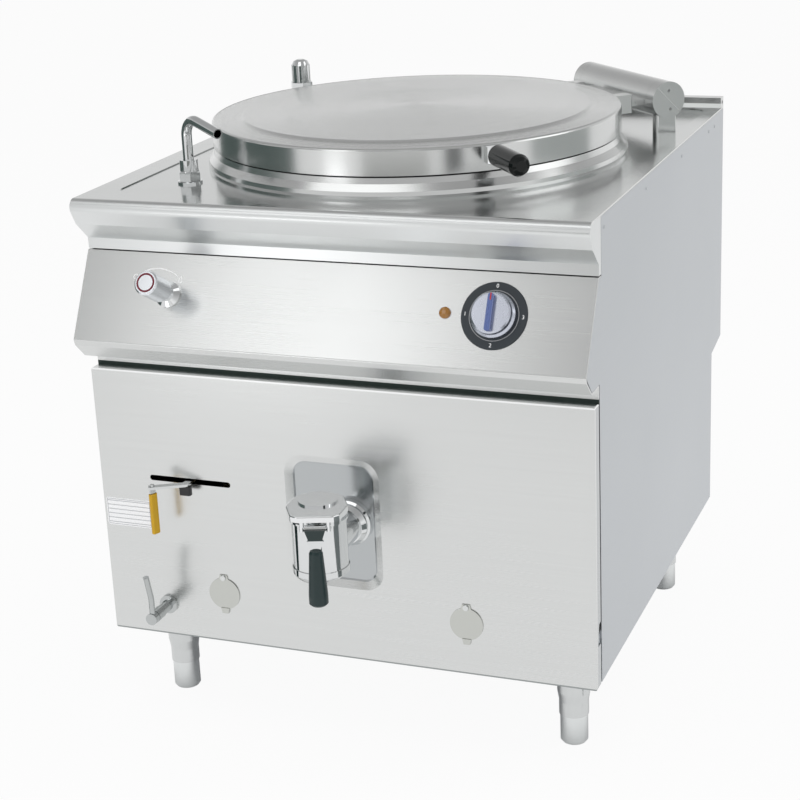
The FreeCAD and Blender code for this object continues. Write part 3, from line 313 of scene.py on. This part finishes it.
LID_RIM = 0.9185
NOSE = ("Z", 0.60, 0.8480, (0.80, 0.815, 0.815), 0.32)
WEDGE = ("Z", 0.4100, 0.4262, (0.055, 0.07, 0.07), 0.30)
deck_steel = polished_steel("polished_deck", 0.16, (0.78, 0.795, 0.79), patches=(NOSE,))
collar_steel = polished_steel("polished_collar", 0.21)
hinge_steel = polished_steel("polished_hinge", 0.24)
lid_steel = turned_steel("turned_lid", LID_MIDDLE, 0.22, rim_below=LID_RIM)
bowl_steel = turned_steel("turned_bowl", LID_MIDDLE, 0.24, (0.64, 0.65, 0.655))
chrome = polished_steel("chrome", 0.06, (0.80, 0.815, 0.82), 0.04)
# Painted highlight: the water knob is a brighter, bluer copy of chrome.
knob_chrome_highlight = polished_steel("knob_chrome_highlight", 0.20, (0.88, 0.905, 0.94), 0.04)
# Painted highlight: the tap's cap is a brighter copy of chrome.
cap_highlight_chrome = polished_steel("cap_highlight_chrome", 0.10, (0.93, 0.94, 0.95), 0.04)
cock_steel = polished_steel("cock_steel", 0.14, (0.56, 0.58, 0.58))
brass = polished_steel("machined_brass", 0.26, (0.72, 0.55, 0.25), 0.10)
lever_chrome = polished_steel("lever_chrome", 0.06, (0.80, 0.815, 0.82), 0.04, (WEDGE,))
print("polished and turned steel")

# %% [markdown]
# ## Plastics, rubber and wool
# Moulded plastic is never quite smooth: the mould leaves a fine grain that breaks up
# the shine. One function makes them all, from a colour, a roughness and the size and
# depth of the grain. The wool of the heat insulation is the same with deep, coarse
# grain, and the lamp lens gets a clear coat over amber.

# %% plastics
def moulded(name, tint, rough, grain=1400.0, depth=0.10, coat=0.0, fleck=0.85, painted_glow=0.0, shine=0.5):
    """Plastic, rubber or paint. `fleck` is how bright its worn places are; a glow makes a bright print
    shine a little, as painted light.
    """
    material = bpy.data.materials.new(name)
    graph = Graph(material)
    where = graph.place()
    pebble = graph.noise(where, grain, 2.0)
    worn = graph.noise(where, 22.0, 3.0)
    dark = rgba(*(fleck * part for part in tint))
    colour = graph.blend((worn * 1.4 - 0.2).held(), dark, rgba(*tint))
    roughness = (worn - 0.5) * 0.12 + (pebble - 0.5) * 0.08 + rough
    finished(graph, Base_Color=colour, Roughness=roughness, Coat_Weight=coat, Coat_Roughness=0.08,
             Specular_IOR_Level=shine, Emission_Color=rgba(1, 1, 1), Emission_Strength=painted_glow,
             Normal=graph.relief(pebble, depth, 0.0003))
    return material


black_plastic = moulded("black_plastic", (0.022, 0.023, 0.024), 0.34)
bakelite = moulded("dark_green_bakelite", (0.012, 0.034, 0.035), 0.34, 500.0, 0.04)
black_grip = moulded("black_grip", (0.005, 0.007, 0.007), 0.14, 500.0, 0.04, shine=0.3)
red_plastic = moulded("red_plastic", (0.20, 0.012, 0.030), 0.30)
yellow_vinyl = moulded("yellow_vinyl", (0.86, 0.50, 0.015), 0.38, 700.0, 0.20)
amber_lens = moulded("amber_lens", (0.46, 0.20, 0.02), 0.16, 300.0, 0.05, coat=1.0)
slate_plastic = moulded("slate_dial", (0.035, 0.045, 0.055), 0.34)
grey_plastic = moulded("grey_plastic", (0.50, 0.51, 0.52), 0.45)
seal_rubber = moulded("seal_rubber", (0.035, 0.035, 0.035), 0.62, 900.0, 0.3)
wool = moulded("mineral_wool", (0.70, 0.62, 0.42), 0.95, 260.0, 1.0, fleck=0.7)
# The white print glows a little: painted light that keeps it bright on the steel.
white_print_glowing = moulded("white_print_glowing", (0.94, 0.95, 0.95), 0.40, fleck=0.97, painted_glow=0.3)
red_paint = moulded("red_paint", (0.70, 0.04, 0.03), 0.40)
print("plastics, rubber and wool")

# %% [markdown]
# The heat knob is satin metal with a blue insert along its grip ridge. The ridge is
# found by its place: near the knob's middle line, and higher off the fascia than the
# knob's round face. A painted highlight lightens the two edges of the ridge.

# %% heat knob finish
TILT = math.radians(29)
ACROSS = Vector((1, 0, 0))
UPWARD = Vector((0, math.sin(TILT), math.cos(TILT)))
OUT = Vector((0, -math.cos(TILT), math.sin(TILT)))
DIAL = Vector((0.258, -0.3437, 0.7091))
RIDGE, RIDGE_ABOVE, RIDGE_TOP = 0.0049, 0.0214, 0.1
# Painted highlight: the two edges of the ridge are lighter.
RIDGE_HIGHLIGHTS = ((-0.0049, -0.0039), (0.0039, 0.0044))


def knob_metal(name, tint, insert, rough):
    """Satin metal with another colour on the ridge of the heat knob, and a painted highlight along the
    ridge's two edges.
    """
    material = bpy.data.materials.new(name)
    graph = Graph(material)
    where = graph.add("ShaderNodeVectorMath", {"operation": "SUBTRACT"}, graph.place(), tuple(DIAL))
    off = graph.add("ShaderNodeVectorMath", {"operation": "DOT_PRODUCT"}, where, tuple(OUT)).pick("Value")
    aside = graph.add("ShaderNodeSeparateXYZ", None, where).pick("X")
    ridge = band_mask(aside, -RIDGE, RIDGE) * band_mask(off, RIDGE_ABOVE, RIDGE_TOP)
    # The painted highlight along the ridge's edges is mixed into the blue.
    edge = band_mask(aside, *RIDGE_HIGHLIGHTS[0]) + band_mask(aside, *RIDGE_HIGHLIGHTS[1])
    spun = graph.noise(graph.stretched(where, (300.0, 60.0, 60.0)), 1.0)
    face = graph.blend(spun, rgba(*(0.88 * part for part in tint)), rgba(*tint))
    blue = graph.blend(edge.held() * 0.55, rgba(*insert), rgba(*tint))
    finished(graph, Base_Color=graph.blend(ridge, face, blue), Metallic=1 - ridge * 0.6,
             Roughness=(spun - 0.5) * 0.12 + rough, Normal=graph.relief(spun, 0.05, 0.0003))
    return material


satin_metal = knob_metal("satin_knob", (0.68, 0.71, 0.80), (0.13, 0.18, 0.42), 0.28)
print("heat knob finish")

# %% [markdown]
# ## Which piece has which finish
# The table goes from finish to pieces, so that a piece can be found under what it is
# made of. A loop gives each solid its finish and then asks whether one was forgotten.

# %% finishes of the solids
FINISHES = {
    front_steel: "front_panel",
    fascia_steel: "control_panel",
    rail_steel: "rear_rail",
    cover_steel: "cover_left cover_right",
    steel_shaded_sides: "left_side_panel right_side_panel rear_panel base_pan side_rivets",
    leg_steel: "leg_sleeves lever_bar",
    foot_steel: "foot_front_left foot_front_right foot_rear_left foot_rear_right",
    inner_steel: "steam_jacket heater_cover drain_tube heating_elements",
    deck_steel: "worktop cover_screws",
    collar_steel: "kettle_collar",
    hinge_steel: "lid_arm hinge_tube hinge_posts",
    lid_steel: "lid_skin",
    bowl_steel: "inner_vessel lid_liner",
    chrome: "relief_valve relief_cap spout_base spout_tube water_valve tap_nut tap_body lid_handle_bracket",
    knob_chrome_highlight: "water_knob",
    cap_highlight_chrome: "tap_cap",
    cock_steel: "cock_body cock_handle",
    lever_chrome: "tap_lever",
    brass: "tap_plug jacket_valve heater_flange relief_pipe water_pipe",
    satin_metal: "heat_knob",
    slate_plastic: "dial_plate",
    black_plastic: "lever_socket heat_switch cable_gland",
    bakelite: "tap_grip",
    black_grip: "lid_grip",
    red_plastic: "water_knob_ring",
    yellow_vinyl: "lever_sleeve",
    amber_lens: "pilot_lamp",
    grey_plastic: "contactor",
    seal_rubber: "lid_gasket",
    wool: "insulation",
}
bare = set(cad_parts)
for material, names in FINISHES.items():
    for name in names.split():
        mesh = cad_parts[name].data
        mesh.materials.clear()
        mesh.materials.append(material)
        bare.discard(name)
print("solids without a finish:", sorted(bare))

# %% [markdown]
# ## Marks round the controls
# The dial has a pale ring and plain numbers, and the knob a red line. On the real
# kettle they are printed, a few hundredths of a millimetre thick. Here they are thin
# meshes just proud of the face they are printed on, placed in the plane of the
# sloping fascia: `across` runs to the right, `upward` up the slope, `out` off it.

# %% the fascia plane
WATER = Vector((-0.252, -0.3437, 0.7091))
PRINT = 0.0002


def reach(node, origin, direction):
    """How far a solid reaches from a point in one direction."""
    return max((v.co - origin).dot(direction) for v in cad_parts[node].data.vertices)


def fascia_place(origin, out):
    """The matrix that lays a flat drawing on the slope, `out` metres off it."""
    turn = Matrix((ACROSS, UPWARD, OUT)).transposed().to_4x4()
    return Matrix.Translation(origin + OUT * out) @ turn


def keep(mesh, name, where, material, rider):
    """Places a mesh, gives it its finish and lets it ride on a body."""
    mesh.transform(where)
    mesh.name = name
    mesh.materials.clear()
    mesh.materials.append(material)
    made = bpy.data.objects.new(name, mesh)
    bpy.context.scene.collection.objects.link(made)
    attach(made, rider)


def flat_band(points, half_width, thick=PRINT):
    """A printed line along points in a plane: a strip with a thickness."""
    built = bmesh.new()
    rows = []
    for index, (x, y) in enumerate(points):
        before, after = points[max(index - 1, 0)], points[min(index + 1, len(points) - 1)]
        dx, dy = after[0] - before[0], after[1] - before[1]
        length = math.hypot(dx, dy)
        nx, ny = -dy / length * half_width, dx / length * half_width
        left, right = (x + nx, y + ny), (x - nx, y - ny)
        corners = [(*left, 0), (*right, 0), (*right, thick), (*left, thick)]
        rows.append([built.verts.new(corner) for corner in corners])
    for first, second in zip(rows, rows[1:]):
        for k in range(4):
            built.faces.new((first[k], first[(k + 1) % 4], second[(k + 1) % 4], second[k]))
    built.faces.new(rows[0])
    built.faces.new(rows[-1][::-1])
    bmesh.ops.recalc_face_normals(built, faces=built.faces)
    mesh = bpy.data.meshes.new("band")
    built.to_mesh(mesh)
    built.free()
    return mesh


def arc(radius, start, end, steps):
    """Points on a circle about the origin, from one angle in degrees to another."""
    angles = [math.radians(start + (end - start) * k / steps) for k in range(steps + 1)]
    return [(radius * math.cos(a), radius * math.sin(a)) for a in angles]


def number(text, tall, thick=PRINT):
    """The mesh of a printed digit."""
    letters = bpy.data.curves.new("number", "FONT")
    letters.body, letters.size, letters.extrude = text, tall, thick / 2
    letters.align_x = letters.align_y = "CENTER"
    holder = bpy.data.objects.new("number", letters)
    mesh = bpy.data.meshes.new_from_object(holder)
    bpy.data.objects.remove(holder)
    return mesh


dial_out = reach("dial_plate", DIAL, OUT)
print("dial face", round(1000 * dial_out, 1), "mm off the fascia")

# %% [markdown]
# The face of the dial and the face of the knob lie at different heights off the
# fascia. Each solid is asked how far it reaches, so that a mark lies on its own face.
# The line on the knob rides with the knob and turns with it.

# %% dial marks
RING, NUMBERS, DIGIT = 0.0362, 0.0427, 0.0080
POINTER = [(0, 0.017), (0, 0.027)]
keep(flat_band(arc(RING, 0, 360, 72), 0.0005), "dial_ring", fascia_place(DIAL, dial_out),
     grey_plastic, "cabinet")
for text, angle in (("0", 90), ("1", 180), ("2", 270), ("3", 0)):
    a = math.radians(angle)
    spot = DIAL + NUMBERS * (math.cos(a) * ACROSS + math.sin(a) * UPWARD)
    keep(number(text, DIGIT), "dial_number_" + text, fascia_place(spot, dial_out),
         white_print_glowing, "cabinet")
knob_out = reach("heat_knob", DIAL, OUT)
keep(flat_band(POINTER, 0.0009), "knob_mark", fascia_place(DIAL, knob_out),
     red_paint, "heat_control")
print("dial ring, four numbers and a red line")

# %% [markdown]
# The water control has an arc with a drop at one end and an empty ring at the other,
# which needs no words: turn one way for water, the other way for none.

# %% water marks
SWING = WATER - 0.022 * ACROSS - 0.017 * UPWARD
SWEEP, START, END, GAP = 0.056, 55, 125, 7
MARK, DROP_TALL = 0.0035, 0.005
keep(flat_band(arc(SWEEP, START, END, 24), 0.0006), "water_arc", fascia_place(SWING, 0),
     white_print_glowing, "cabinet")
# A drop is a circle that is pinched towards its top.
drop = [(MARK * math.sin(a) * (1 - 0.5 * (1 + math.cos(a)) * 0.75), DROP_TALL * math.cos(a))
        for a in (math.radians(12 * k) for k in range(31))]
circle = arc(MARK, 0, 360, 24)
for name, points, angle in (("water_drop", drop, START - GAP), ("water_ring", circle, END + GAP)):
    a = math.radians(angle)
    spot = SWING + SWEEP * (math.cos(a) * ACROSS + math.sin(a) * UPWARD)
    keep(flat_band(points, 0.0004), name, fascia_place(spot, 0), white_print_glowing, "cabinet")
print("water marks")

# %% [markdown]
# ## A bare rating plate
# Such a panel has a plate with figures at its lower left. The place is kept, and so
# are the frame and the rows that the figures stand in, but nothing is written there.
# The rows come from one coordinate that a Ping-Pong node folds up and down, so that
# it comes back to zero once a row.

# %% rating plate
PLATE = (-0.357, PANEL_FACE, 0.346)
PLATE_WIDE, PLATE_TALL, PLATE_CORNER, PLATE_THICK = 0.078, 0.046, 0.003, 0.0005
FRAME_OUTER, FRAME_INNER, ROW = 0.0014, 0.0022, 0.0036


def plate(wide, tall, corner, thick):
    """A flat plate with round corners, standing on the plane z = 0."""
    outline = []
    for sx, sy, start in ((1, 1, 0), (-1, 1, 90), (-1, -1, 180), (1, -1, 270)):
        for x, y in arc(corner, start, start + 90, 4):
            outline.append((sx * (wide / 2 - corner) + x, sy * (tall / 2 - corner) + y))
    count = len(outline)
    points = [(x, y, z) for z in (0, thick) for x, y in outline]
    faces = [range(count)[::-1], range(count, 2 * count)]
    faces += [(k, (k + 1) % count, (k + 1) % count + count, k + count) for k in range(count)]
    mesh = bpy.data.meshes.new("plate")
    mesh.from_pydata(points, [], [tuple(face) for face in faces])
    return mesh


def inside(across, upward, wide, tall, margin):
    """1 in a rectangle that lies a margin inside a plate."""
    return (band_mask(across, margin - wide / 2, wide / 2 - margin)
            * band_mask(upward, margin - tall / 2, tall / 2 - margin))


def ruled_card(name, middle, wide, tall):
    """White card with a frame and ruled rows, and nothing written in them. It glows a little, as painted
    light.
    """
    material = bpy.data.materials.new(name)
    graph = Graph(material)
    where = graph.add("ShaderNodeVectorMath", {"operation": "SUBTRACT"}, graph.place(), middle)
    parts = graph.add("ShaderNodeSeparateXYZ", None, where)
    across, upward = parts.pick("X"), parts.pick("Z")
    inner = inside(across, upward, wide, tall, FRAME_INNER)
    outer = inside(across, upward, wide, tall, FRAME_OUTER)
    row = upward.maths("PINGPONG", upward + 0.5, ROW)
    rules = (1.6 - row * 1500.0).held() * inner
    ink = (rules * 0.7 + (outer - inner)).held()
    fibre = graph.noise(where, 700.0, 2.0)
    blank = graph.blend(fibre, rgba(0.93, 0.94, 0.96), rgba(0.97, 0.98, 1.0))
    # The card glows a little: painted light.
    finished(graph, Base_Color=graph.blend(ink, blank, rgba(0.12, 0.14, 0.17)), Roughness=fibre * 0.1 + 0.3,
             Emission_Color=rgba(1, 1, 1), Emission_Strength=0.2)
    return material


plate_card = ruled_card("ruled_card", PLATE, PLATE_WIDE, PLATE_TALL)
panel_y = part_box("front_panel")[0][1]
upright = Matrix.Translation((PLATE[0], panel_y, PLATE[2])) @ Matrix.Rotation(math.radians(90), 4, "X")
keep(plate(PLATE_WIDE, PLATE_TALL, PLATE_CORNER, PLATE_THICK), "rating_plate", upright,
     plate_card, "cabinet")
print("panel face at", round(panel_y, 4))

# %% [markdown]
# ## Floor, background and light
# Steel has hardly a colour of its own: it shows its surroundings. So the studio is
# part of the finish. The floor is matt paper that is lifted towards white for the
# camera, which leaves a faint shadow. In reflections it is lifted less, and under the
# cabinet not at all, so that the legs and the tap show a dark floor there.

# %% floor
FLOOR = (0.88, 0.88, 0.88)
FLOOR_HALF = 60.0
WHITENED, REFLECTED = 0.94, 0.74
UNDER_X, UNDER_Y, UNDER_SOFT = (-0.43, 0.43), (-0.325, 0.48), 11.0
ground = bmesh.new()
bmesh.ops.create_grid(ground, x_segments=2, y_segments=2, size=FLOOR_HALF)
floor_mesh = bpy.data.meshes.new("floor")
ground.to_mesh(floor_mesh)
ground.free()
floor = bpy.data.objects.new("floor", floor_mesh)
bpy.context.scene.collection.objects.link(floor)
floor_paper = bpy.data.materials.new("floor_paper")
graph = Graph(floor_paper)
fibre = graph.noise(graph.place(), 40.0, 3.0)
paper = graph.blend(fibre, rgba(*(0.98 * part for part in FLOOR)), rgba(*FLOOR))
matt = graph.add("ShaderNodeBsdfDiffuse", None, Color=paper)
white = graph.add("ShaderNodeEmission", None, Color=rgba(1, 1, 1), Strength=1.0)
rays = graph.add("ShaderNodeLightPath")
mirrored = (rays.pick("Is Glossy Ray") + rays.pick("Is Transmission Ray")).held()
paces = graph.add("ShaderNodeSeparateXYZ", None, graph.place())
under = band_mask(paces.pick("X"), *UNDER_X, UNDER_SOFT) * band_mask(paces.pick("Y"), *UNDER_Y, UNDER_SOFT)
mirrored = mirrored * REFLECTED * (1 - under)
lift = rays.pick("Is Camera Ray") * WHITENED + mirrored
surface = graph.add("ShaderNodeMixShader", None, lift, matt, white)
graph.add("ShaderNodeOutputMaterial", None, Surface=surface)
floor_mesh.materials.append(floor_paper)
print("floor", 2 * FLOOR_HALF, "m across")

# %% [markdown]
# The world is white up to the horizon and goes to grey overhead, as in a room with
# lit walls and a dim ceiling. A lid that lies flat shows the part above the horizon, so
# these levels set how bright it looks. They go by the angle above the horizon: 0 is
# straight down, 0.5 the horizon and 1 straight up.

# %% world
HEIGHTS = [(0.0, 1.0), (0.5, 1.0), (0.53, 0.95), (0.575, 0.70),
           (0.61, 0.62), (0.70, 0.42), (0.85, 0.40), (1.0, 0.50)]
world = bpy.data.worlds.new("studio")
bpy.context.scene.world = world
graph = Graph(world)
direction = graph.add("ShaderNodeTexCoord").pick("Generated")
up = graph.add("ShaderNodeSeparateXYZ", None, direction).pick("Z")
elevation = up.maths("ARCSINE", up) / math.pi + 0.5
level = graph.add("ShaderNodeValToRGB", {"stops": HEIGHTS}, elevation)
sky = graph.add("ShaderNodeBackground", None, Color=rgba(1, 1, 1), Strength=level)
graph.add("ShaderNodeOutputWorld", None, Surface=sky)
print("world ready")

# %% [markdown]
# A round rim or a chromed tap looks round because dark and bright streaks run along
# it. Photographers stand cards beside the object for that. These cards are there for
# reflections only, and from one side only, so that a flat panel doesn't show the back
# of a card that was set up for the tap. Bearings are in degrees from the front.

# %% cards
def card(name, bearing, away, back, wide, low, high, tint):
    """An upright card. `back` is the bearing to which its unseen side looks."""
    stand, turn = math.radians(bearing), math.radians(back)
    middle = Vector((math.sin(stand), -math.cos(stand), 0)) * away
    side = Vector((math.cos(turn), math.sin(turn), 0)) * wide / 2
    ends = ((middle - side, low), (middle + side, low), (middle + side, high), (middle - side, high))
    mesh = bpy.data.meshes.new(name)
    mesh.from_pydata([(end.x, end.y, height) for end, height in ends], [], [(0, 1, 2, 3)])
    material = bpy.data.materials.new(name)
    cloth = Graph(material)
    weave = cloth.noise(cloth.place(), 60.0, 2.0)
    tone = cloth.blend(weave, rgba(*(0.9 * part for part in tint)), rgba(*tint))
    facing = cloth.add("ShaderNodeNewGeometry").pick("Backfacing")
    clear = cloth.add("ShaderNodeBsdfTransparent")
    matt = cloth.add("ShaderNodeBsdfDiffuse", None, Color=tone)
    seen = cloth.add("ShaderNodeMixShader", None, facing, clear, matt)
    cloth.add("ShaderNodeOutputMaterial", None, Surface=seen)
    mesh.materials.append(material)
    made = bpy.data.objects.new(name, mesh)
    bpy.context.scene.collection.objects.link(made)
    made.visible_camera = made.visible_diffuse = made.visible_shadow = False


# Name, bearing, distance, bearing of the back, width, low edge, high edge, tint
CARDS = [
    ("card_left", -80, 1.45, -80, 2.0, 0.1, 1.3, (0.14, 0.18, 0.17)),
    ("card_front", 10, 1.47, 10, 0.9, 0.40, 0.66, (0.36, 0.37, 0.35)),
    ("card_right", 102, 1.7, 102, 1.3, 0.0, 1.2, (0.62, 0.65, 0.64)),
    ("strip_middle", 39, 1.12, 39, 0.17, 0.40, 0.85, (0.02, 0.03, 0.03)),
    ("strip_left", -53, 0.94, -150, 0.60, 0.0, 0.28, (0.03, 0.05, 0.05)),
    ("strip_right", 61, 0.86, 150, 0.60, 0.0, 0.28, (0.25, 0.28, 0.28)),
]
for row in CARDS:
    card(*row)
print(len(CARDS), "cards")

# %% [markdown]
# Five soft lamps: one for the sheen on the fascia, one for the nose of the worktop,
# a small one for the streak on the lid's rim, and two for everything else. The top
# lamp is kept out of reflections, or the flat lid would be white from above.

# %% lamps
# Name, place, width, height, watts
LAMPS = [
    ("fascia", (-1.45, -3.0, 2.75), 1.0, 1.1, 4.4),
    ("nose", (-0.5, -1.6, 3.3), 2.8, 1.0, 9.0),
    ("rim", (-0.72, -1.75, 0.38), 0.35, 0.25, 0.55),
    ("right", (3.2, 0.4, 2.6), 2.0, 2.0, 12.0),
    ("top", (0.2, -0.2, 3.8), 3.0, 3.0, 30.0),
]
AIM = Vector((0, 0, 0.45))
for name, place, wide, tall, power in LAMPS:
    light = bpy.data.lights.new(name, "AREA")
    light.shape, light.size, light.size_y, light.energy = "RECTANGLE", wide, tall, power
    lamp = bpy.data.objects.new(name, light)
    lamp.location = place
    lamp.rotation_mode = "QUATERNION"
    lamp.rotation_quaternion = (AIM - Vector(place)).to_track_quat("-Z", "Y")
    lamp.visible_camera = False
    lamp.visible_glossy = name != "top"
    bpy.context.scene.collection.objects.link(lamp)
bpy.context.scene.view_settings.view_transform = "Standard"
print(len(LAMPS), "lamps")
